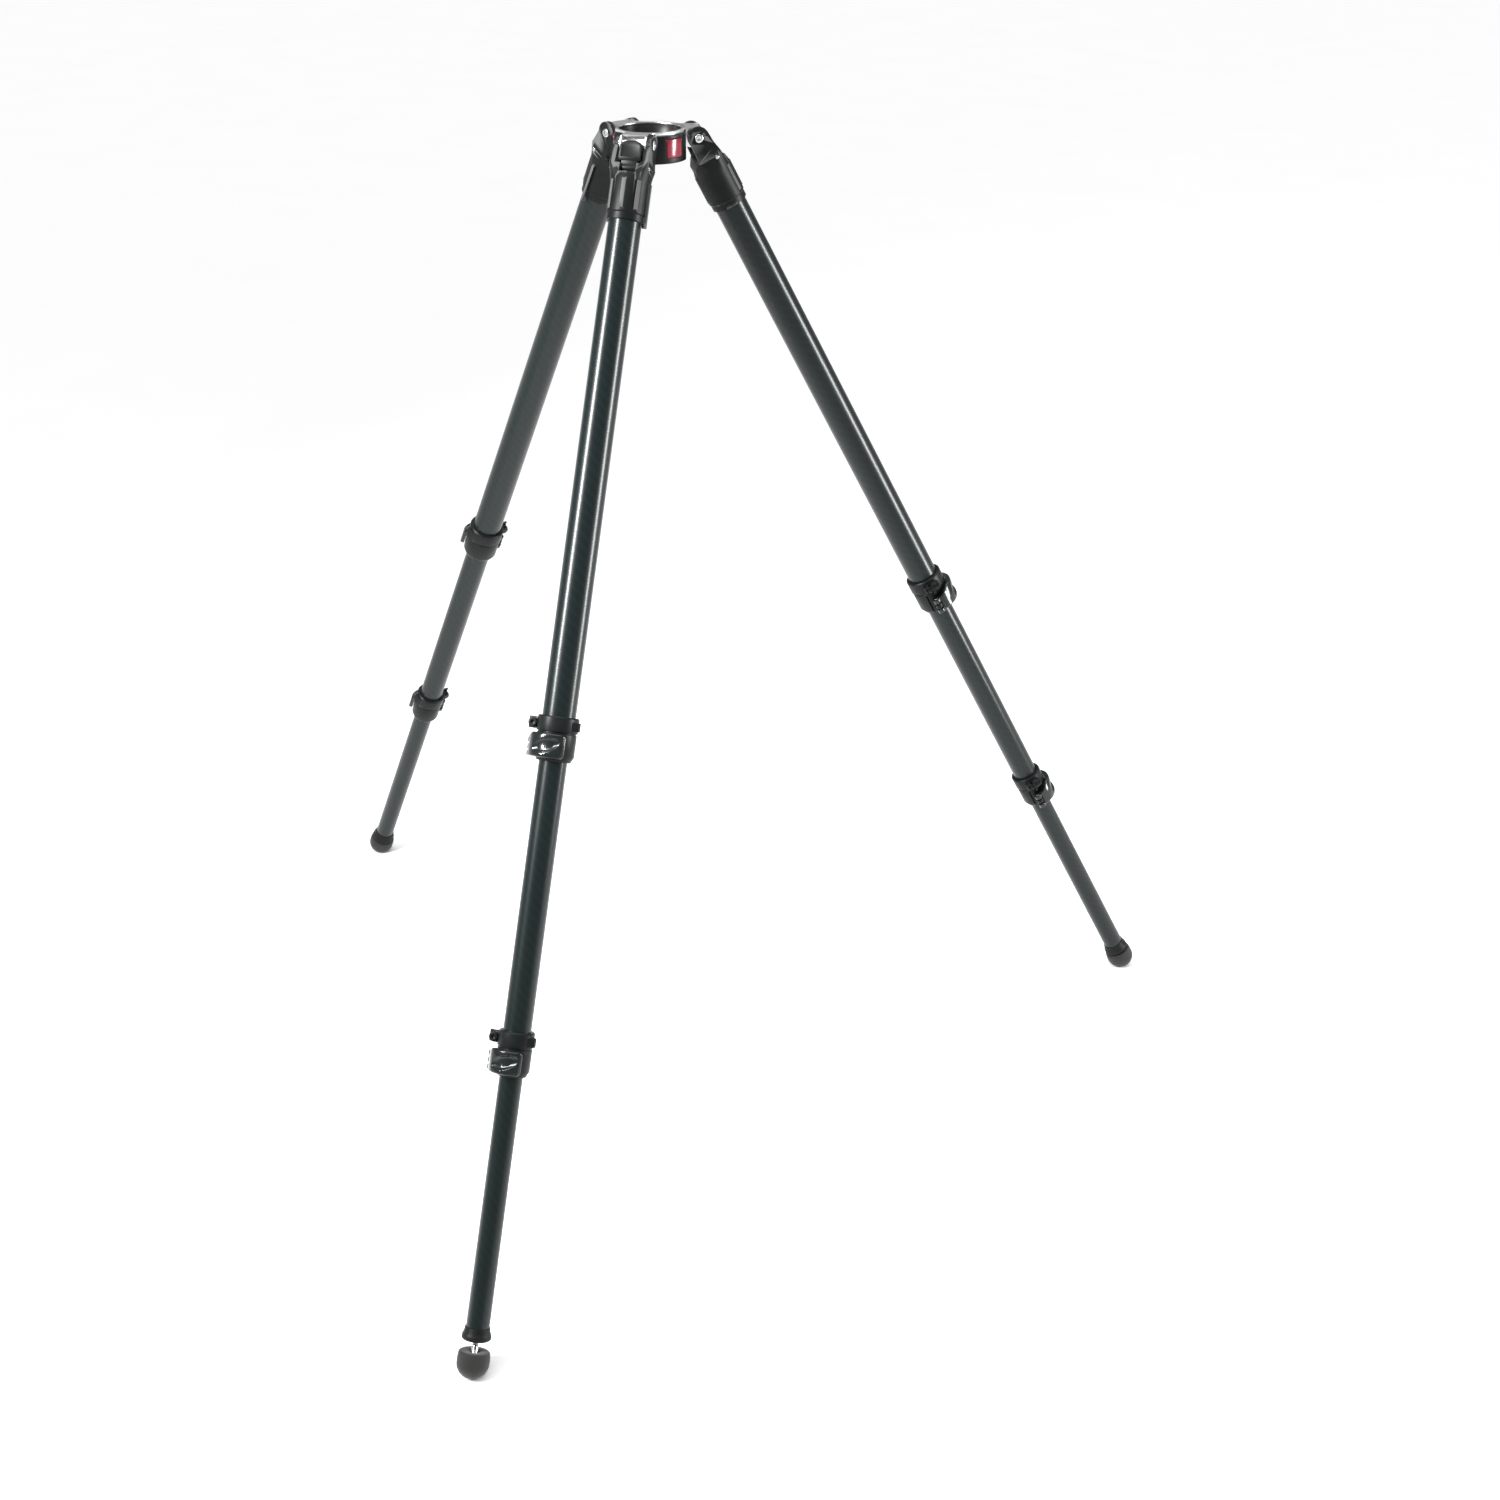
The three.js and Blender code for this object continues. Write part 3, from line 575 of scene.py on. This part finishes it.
def leg_top_mesh():
    shoulder = 48
    side = [(-21, -shoulder), (20, -shoulder), (CHEEK_R + 4, -BRIDGE_TOP)]
    side += arc(0, 0, CHEEK_R, -20, 200, 40) + [(-CHEEK_R, -BRIDGE_TOP + 1), (-21, -BRIDGE_TOP - 8)]
    waist = 24.3
    front = [(-CHEEK_OUT, CHEEK_R + 1), (-CHEEK_OUT, -16), (-waist, -34), (-waist, -shoulder - 1),
             (waist, -shoulder - 1), (waist, -34), (CHEEK_OUT, -16), (CHEEK_OUT, CHEEK_R + 1)]
    envelope = turned([(0, 20), (60, 20), (60, -2), (31, -14), (SOCKET_R + 2, -36),
                       (SOCKET_R, -shoulder), (0, -shoulder)])
    fork = common(prism(side, -CHEEK_OUT - 1, CHEEK_OUT + 1, "XZ"), prism(front, -24, 24, "YZ"),
                  envelope)
    socket = turned([(0, -34), (SOCKET_R - 2.5, -34), (SOCKET_R, -44), (SOCKET_R, -SOCKET_END + 9),
                     (SOCKET_R - 1.1, -SOCKET_END + 7.5), (SOCKET_R - 1.1, -SOCKET_END),
                     (0, -SOCKET_END)])
    fin = block(-1.8, 1.8, SOCKET_R - 2, SOCKET_R + 3, -SOCKET_END - 5, -46)
    ribs = [moved(block(SOCKET_R - 3, SOCKET_R + 0.7, -2.4, 2.4, -SOCKET_END + 12, -46), turn=angle)
            for angle in (-44, 0, 44, 180)]
    slot = PRONG_OUT + 0.3
    tail = CATCH_W / 2 - 3.2
    body = join(fork, socket, fin, *ribs)
    body = cut(body, block(-30, 30, -slot, slot, -BRIDGE_TOP, 20),
               block(3, 30, -tail, tail, -CATCH_DOWN - 7, -BRIDGE_TOP + 1),
               rod(UPPER_R + 0.3, -SOCKET_END - 8, -TUBE_TOP, FINE),
               cross_rod(BOLT_R + 0.2, 0, 0, CHEEK_OUT + 2),
               cut(cross_rod(BOLT_HEAD_R + 1, 0, 0, CHEEK_OUT + 2), cross_rod(9, 0, 0, BOLT_SEAT)),
               cross_rod(CATCH_PIN_R + 0.15, CATCH_OUT, -CATCH_DOWN, CHEEK_OUT + 2, 24))
    return rounded(body, 1.0, 3, 28)


def bolt_mesh():
    """Pivot bolt: a domed, hex-socketed head sunk in each cheek."""
    low, high, r = BOLT_SEAT + 0.3, BOLT_SEAT + 3.4, BOLT_HEAD_R
    half = [(BOLT_R, low), (r, low), (r, high - 0.9), (r - 0.4, high - 0.3), (r - 1.1, high)]
    profile = [(0, -high)] + [(x, -z) for x, z in reversed(half)] + half + [(0, high)]
    body = moved(turned(profile, MEDIUM), turn=90, axis="X")
    sockets = []
    for side in (-1, 1):
        ends = sorted((side * (high - 1.8), side * (high + 1)))
        sockets.append(moved(rod(2.4, *ends, 6), turn=90, axis="X"))
    return rounded(cut(body, *sockets), 0.25, 2)


def catch_mesh():
    half = CATCH_W / 2
    face = [(-half, -22.5), (half, -22.5), (half, -6)] + ellipse(0, -6, half, 7, 0, 180, 32)
    side = [(7, -23), (13.4, -23), (15.2, -19), (14, 3), (7, 3)]
    nose = common(prism(face, 6, 16, "YZ"), prism(side, -half - 1, half + 1, "XZ"))
    inset = [(3 - half, -18.5), (half - 3, -18.5), (half - 3, -7)]
    inset += ellipse(0, -7, half - 3, 5, 0, 180, 24)
    nose = cut(nose, prism(inset, 14.2, 18, "YZ"))
    tail_half = half - 3.5
    tail = join(block(5, 13, -tail_half, tail_half, -CATCH_DOWN, -21),
                cross_rod(5, CATCH_OUT, -CATCH_DOWN, tail_half))
    body = cut(join(nose, tail), cross_rod(CATCH_PIN_R + 0.15, CATCH_OUT, -CATCH_DOWN, half, 24))
    return rounded(body, 0.9, 3)


def catch_pin_mesh():
    half = 24.6
    return rounded(cross_rod(CATCH_PIN_R, CATCH_OUT, -CATCH_DOWN, half, 32), 0.5, 3)


def tube_mesh(r, bottom, top):
    edge = 0.25
    profile = [(r - WALL, bottom), (r - edge, bottom), (r, bottom + edge), (r, top - edge),
               (r - edge, top), (r - WALL, top)]
    return rounded(turned(profile, 144), 0)


# ---- flip lock (origin on the tube's axis, at the lock's top) -----------------------------------

def hinge_point(r_wide):
    r = r_wide + 10.5
    return r * math.cos(radians(HINGE_ANGLE)), r * math.sin(radians(HINGE_ANGLE)), 0


def collar_mesh(r_wide, r_narrow):
    band = r_wide + 4.6
    shell = turned([(r_narrow - 1, -LOCK_LENGTH), (r_narrow + 3.2, -LOCK_LENGTH),
                    (band - 0.8, -LOCK_LENGTH + 7), (band - 0.8, -20.5), (band - 1.8, -19.8),
                    (band - 1.8, -18.6), (band, -18), (band, -1.6), (band - 1.4, 0),
                    (r_narrow - 1, 0)])
    hinge = hinge_point(r_wide)
    lug = join(moved(rod(4.8, -41.5, -36), hinge),
               moved(block(0, r_wide - 3, -4.6, 4.6, -41.5, -36), hinge, HINGE_ANGLE + 180))
    ear_y = -(r_wide + 8)
    barrel = moved(moved(cross_rod(6.5, 0, 0, 7.5), turn=90), (0, ear_y, -10))
    ear = join(barrel, block(-7.5, 7.5, ear_y, -r_wide + 3, -16.5, -3.5))
    boss = [(r_wide + 1, -9), (r_wide + 10, -2.5), (r_wide + 10, 1.5), (r_wide + 1, 9)]
    boss = moved(prism(boss, -15.5, -5), turn=78)
    split = block(r_narrow - 2, band + 2, -1, 1, -60, LEVER_TOP - 1)
    tools = [block(-1, 1, ear_y - 8, -r_wide - 4.6, -17, -3),
             rod(r_wide + 0.3, -LOCK_SHOULDER, 2, FINE), rod(r_narrow + 0.3, -60, 2, FINE),
             moved(rod(PIN_R + 0.1, -70, 5, 24), hinge), moved(split, turn=HINGE_ANGLE - 24)]
    return rounded(cut(join(shell, lug, ear, boss), *tools), 0.7, 3)


def band_bolt_mesh(r_wide):
    """Cap screw through the collar's ear, with a nut behind it."""
    profile = [(0, -10.5), (5.2, -10.5), (5.2, -7.6), (2.4, -7.6), (2.4, 7.6), (5.6, 7.6),
               (5.6, 10.4), (4.9, 11.2), (0, 11.2)]
    body = cut(turned(profile, MEDIUM), rod(2.3, 9, 13, 6))
    body = moved(rounded(body, 0.3, 2), turn=90, axis="Y")
    return moved(body, (0, -(r_wide + 8), -10))


def lever_mesh(r_wide):
    """Curved lever with a slanted, dished thumb recess, lower towards its hinge."""
    inside = r_wide + 5.3
    columns, rows = 110, 36
    first, last = HINGE_ANGLE + 5, LEVER_ANGLE
    middle_r = inside + 6
    points, faces = [], []
    for column in range(columns + 1):
        t = column / columns
        angle = first + (last - first) * t
        rise = min(1.0, max(0.0, (angle - first) / 48))
        rise = rise * rise * (3 - 2 * rise)
        end = max(0.0, (angle - (last - 14)) / 14)
        corner = 4.5 * (1 - math.sqrt(max(0.0, 1 - end ** 2)))
        top = KNUCKLE_TOP + (LEVER_TOP - KNUCKLE_TOP) * rise - corner
        bottom = LEVER_BOTTOM + corner
        thickness = 6.2 - 1.6 * end ** 2
        for row in range(rows + 1):
            v = row / rows
            z = bottom + (top - bottom) * v
            u = (angle - (last - 47)) * radians(1) * middle_r
            w = z - (LEVER_TOP + LEVER_BOTTOM) / 2
            slant = radians(17)
            a = (u * math.cos(slant) + w * math.sin(slant)) / 19
            b = (-u * math.sin(slant) + w * math.cos(slant)) / 8.2
            dish = max(0.0, 1 - a * a - b * b)
            edge = min(v, 1 - v) * (top - bottom)
            roll = 1.3 * max(0.0, 1 - edge / 1.6) ** 2
            r = inside + thickness - 3.0 * min(1.0, dish * 1.6) ** 0.8 - roll
            for radius in (inside, r):
                x, y = radius * math.cos(radians(angle)), radius * math.sin(radians(angle))
                points.append((x, y, z))
    stride = 2 * (rows + 1)
    for column in range(columns):
        here, there = column * stride, (column + 1) * stride
        for row in range(rows):
            k = 2 * row
            faces.append([here + k, here + k + 2, there + k + 2, there + k])
            faces.append([here + k + 1, there + k + 1, there + k + 3, here + k + 3])
        faces.append([here, there, there + 1, here + 1])
        k = 2 * rows
        faces.append([here + k, here + k + 1, there + k + 1, there + k])
    for base in (0, columns * stride):
        for row in range(rows):
            k = base + 2 * row
            faces.append([k, k + 1, k + 3, k + 2])
    hinge = hinge_point(r_wide)
    knuckles = [moved(rod(5, LEVER_BOTTOM, -44), hinge), moved(rod(5, -33.5, KNUCKLE_TOP), hinge)]
    room = join(moved(rod(5.6, -44, -33.5), hinge),
                moved(block(0, r_wide - 3, -5.4, 5.4, -44, -33.5), hinge, HINGE_ANGLE + 180))
    body = cut(join(mesh_from(points, faces), *knuckles), room,
               moved(rod(PIN_R + 0.1, LEVER_BOTTOM - 1, LEVER_TOP, 24), hinge),
               rod(r_wide + 4.9, LEVER_BOTTOM - 1, LEVER_TOP + 1, FINE))
    return rounded(body, 0.35, 2, 40)


def lever_pin_mesh(r_wide):
    pin = rod(PIN_R, LEVER_BOTTOM - 0.7, KNUCKLE_TOP + 0.7, 32)
    return rounded(moved(pin, hinge_point(r_wide)), 0.4, 2)


# ---- foot (origin at the foot's flat top, Z up the leg) -----------------------------------------

def cap_mesh():
    """Flared cap on the lower tube's end, from its bottom face up."""
    lip = 17.5
    body = turned([(0, -1.5), (SPINDLE_R + 2.5, -1.5), (SPINDLE_R + 3.5, -0.6), (lip - 1.6, 0),
                   (lip, 1.6), (lip, 5.2), (lip - 0.5, 6.4), (LOWER_R + 1.4, 10.6),
                   (LOWER_R + 0.9, 15), (0, 15)])
    return rounded(cut(body, ring(LOWER_R - WALL - 0.3, LOWER_R + 0.3, 4, 26),
                       rod(SPINDLE_R + 0.4, -3, 26)), 0.4, 3)


def spindle_mesh():
    """A real helical thread round the spindle."""
    pitch, depth, start, length, facets, steps = 1.5, 0.55, -14, 46, 40, 8
    rows = int(length / pitch * steps)
    points, faces = [], []
    for row in range(rows + 1):
        z = start + length * row / rows
        for k in range(facets):
            turn = (z / pitch - k / facets) % 1
            r = SPINDLE_R - depth * abs(2 * turn - 1)
            angle = 2 * math.pi * k / facets
            points.append((r * math.cos(angle), r * math.sin(angle), z))
    for row in range(rows):
        for k in range(facets):
            after = (k + 1) % facets
            faces.append([row * facets + k, row * facets + after, (row + 1) * facets + after,
                          (row + 1) * facets + k])
    faces += [list(range(facets)), [rows * facets + k for k in range(facets)]]
    return rounded(mesh_from(points, faces), 0)


def foot_mesh():
    """Half ball under a short drum, dished round the spindle and worn flat where it stands."""
    profile = [(SPINDLE_R + 0.3, -12), (SPINDLE_R + 0.3, -2.2), (8, -0.5), (10, 0)]
    profile += arc(FOOT_R - 3.6, -3, 3, 90, 12, 8) + [(FOOT_R, -8.5)]
    profile += [(FOOT_R * math.cos(radians(a)), -FOOT_CUP - FOOT_R * math.sin(radians(a)))
                for a in range(0, 90, 5)]
    profile += [(0, -FOOT_CUP - FOOT_R), (0, -12)]
    body = turned([(0, -12)] + profile[:-1], FINE)
    ground = block(-60, 60, -60, 60, -60, FOOT_FLAT - FOOT_R)
    ground = moved(ground, (0, 0, -FOOT_CUP), LEG_TILT, "Y")
    return rounded(cut(body, ground), 0.4, 2)


# ---- assembly -----------------------------------------------------------------------------------

def build_crown():
    piece("bowl", bowl_mesh(), CROWN_FRAME, "crown", [SILVER, SEAT], ["bowl_casting"])
    piece("crown_skirt", shell_mesh(), CROWN_FRAME, "crown", [CROWN_BLACK],
          ["crown_shell"])
    insert = insert_mesh()
    for leg, azimuth in AZIMUTHS.items():
        turn = Matrix.Rotation(radians(azimuth + SWEEP / 2), 4, "Z")
        piece(f"{leg}_insert", insert, CROWN_FRAME @ turn, "crown", [RED],
              [f"{leg}_web_insert"])


def build_locks():
    for level, wide, narrow, holder in (("upper", UPPER_R, MIDDLE_R, "leg"),
                                        ("lower", MIDDLE_R, LOWER_R, "middle")):
        collar, bolt = collar_mesh(wide, narrow), band_bolt_mesh(wide)
        lever, pin = lever_mesh(wide), lever_pin_mesh(wide)
        for leg in LEGS:
            top = along(f"{leg}_{level}_lock_collar", leg)[1]
            place = LEG_FRAMES[leg] @ Matrix.Translation((0, 0, top * MM))
            body = f"{leg}_{holder}"
            name = f"{leg}_{level}"
            piece(f"{name}_collar", collar, place, body, [LOCK],
                  [f"{name}_lock_collar"])
            piece(f"{name}_band_bolt", bolt, place, body, [CATCH])
            piece(f"{name}_hinge_pin", pin, place, body, [STEEL],
                  [f"{name}_lever_pin"])
            piece(f"{name}_lever", lever, place, f"{name}_lever", [LEVER],
                  [f"{name}_lock_lever"])


def build_tubes():
    for leg in LEGS:
        for level, r, body in (("upper", UPPER_R, "leg"), ("middle", MIDDLE_R, "middle"),
                               ("lower", LOWER_R, "lower")):
            mesh = tube_mesh(r, *along(f"{leg}_{level}_tube", leg))
            piece(f"{leg}_{level}_carbon", mesh, LEG_FRAMES[leg], f"{leg}_{body}",
                  [CARBON], [f"{leg}_{level}_tube"])


def build_leg_tops():
    top, bolt, catch, pin = leg_top_mesh(), bolt_mesh(), catch_mesh(), catch_pin_mesh()
    for leg in LEGS:
        place, body = LEG_FRAMES[leg], f"{leg}_leg"
        piece(f"{leg}_casting", top, place, body, [CASTING], [f"{leg}_leg_top"])
        piece(f"{leg}_bolt", bolt, place, body, [STEEL], [f"{leg}_pivot_bolt"])
        piece(f"{leg}_pin", pin, place, body, [STEEL], [f"{leg}_catch_pin"])
        piece(f"{leg}_catch_block", catch, place, f"{leg}_catch", [CATCH],
              [f"{leg}_angle_catch"])


def build_feet():
    cap, spindle, foot = cap_mesh(), spindle_mesh(), foot_mesh()
    foot_place = Matrix.Translation((0, 0, FOOT_TOP * MM))
    for leg in LEGS:
        lean = LEG_FRAMES[leg].to_3x3().to_4x4()
        level_foot = foot.copy()
        level_foot.transform(lean)
        cap_end = along(f"{leg}_end_cap", leg)[0] + 1.5
        place = LEG_FRAMES[leg]
        piece(f"{leg}_cap", cap, place @ Matrix.Translation((0, 0, cap_end * MM)), f"{leg}_lower",
              [CAP], [f"{leg}_end_cap"])
        piece(f"{leg}_spindle", spindle, place @ foot_place, f"{leg}_foot",
              [SPINDLE], [f"{leg}_foot_spindle"])
        piece(f"{leg}_foot", level_foot, place @ foot_place @ lean.inverted(), f"{leg}_foot",
              [RUBBER], [f"{leg}_rubber_foot"])


def finish_hidden_glides():
    for leg in LEGS:
        for level in ("middle", "lower"):
            node = NODES[f"{leg}_{level}_glide"]
            node.data.materials.clear()
            node.data.materials.append(GLIDE)
            node.data.shade_smooth()
            node.data.set_sharp_from_angle(angle=radians(40))


# ---- stage ---------------------------------------------------------------------------------------

def build_floor():
    half = 14.0
    mesh = bpy.data.meshes.new("floor")
    mesh.from_pydata([(-half, -half, 0), (half, -half, 0), (half, half, 0), (-half, half, 0)], [],
                     [(0, 1, 2, 3)])
    floor = bpy.data.objects.new("floor", mesh)
    bpy.context.scene.collection.objects.link(floor)
    f = Finish("pale_floor", Roughness=0.9, Specular_IOR_Level=0.1)
    tone = f.blend(f.noise(3), rgb(0.9, 0.9, 0.9), rgb(0.93, 0.93, 0.93))
    mesh.materials.append(f.use(Base_Color=tone))


SKY_STRENGTH = 0.3
CEILING_STRENGTH, CEILING_ANGLE = 2.45, 70
STRIP_SPREAD = 80


def area_light(name, place, target, size, power):
    light = bpy.data.lights.new(name, "AREA")
    light.shape = "RECTANGLE"
    light.size, light.size_y = size
    light.energy = power
    light.spread = radians(STRIP_SPREAD)
    lamp = bpy.data.objects.new(name, light)
    bpy.context.scene.collection.objects.link(lamp)
    lamp.location = place
    lamp.rotation_euler = (Vector(target) - Vector(place)).to_track_quat("-Z", "Y").to_euler()


def build_light():
    """A soft ceiling for the floor, and a strip on each side for the streaks on the tubes."""
    world = bpy.data.worlds.new("studio")
    bpy.context.scene.world = world
    world.use_nodes = True
    background = world.node_tree.nodes["Background"]
    background.inputs["Color"].default_value = rgb(1, 1, 1)
    background.inputs["Strength"].default_value = SKY_STRENGTH
    sun = bpy.data.lights.new("ceiling", "SUN")
    sun.energy = CEILING_STRENGTH
    sun.angle = radians(CEILING_ANGLE)
    holder = bpy.data.objects.new("ceiling", sun)
    bpy.context.scene.collection.objects.link(holder)
    middle = (0, 0, 0.9)
    area_light("left_strip", (-1.5, -1.6, 2.2), middle, (0.45, 1.3), 40)
    area_light("right_strip", (2.65, 0.5, 1.1), middle, (0.5, 1.6), 22)


# Camera, fitted to the legs' lines: its place round the crown's axis, its aim and its lens
CAMERA_TURN = 18.56             # degrees round from the front leg, towards the right
CAMERA_DISTANCE = 2.4449
CAMERA_HEIGHT = 1.7225
CAMERA_YAW, CAMERA_PITCH, CAMERA_ROLL = 2.90, 27.24, 0.367
CAMERA_LENS = 47.71


def build_camera():
    camera = bpy.data.cameras.new("camera")
    camera.lens = CAMERA_LENS
    camera.sensor_width = 36
    camera.clip_end = 60
    holder = bpy.data.objects.new("camera", camera)
    bpy.context.scene.collection.objects.link(holder)
    turn = Matrix.Rotation(radians(CAMERA_TURN), 4, "Z")
    holder.location = Vector((PIVOT_CENTRE.x, PIVOT_CENTRE.y, 0)) \
        + turn @ Vector((0, -CAMERA_DISTANCE, CAMERA_HEIGHT))
    aim = Matrix.Rotation(radians(CAMERA_TURN - CAMERA_YAW), 4, "Z") \
        @ Matrix.Rotation(radians(90 - CAMERA_PITCH), 4, "X") \
        @ Matrix.Rotation(radians(CAMERA_ROLL), 4, "Z")
    holder.rotation_euler = aim.to_euler()
    bpy.context.scene.camera = holder


build_camera()
build_floor()
build_light()
build_crown()
build_leg_tops()
build_tubes()
build_locks()
build_feet()
finish_hidden_glides()
bpy.context.scene.view_settings.view_transform = "Standard"
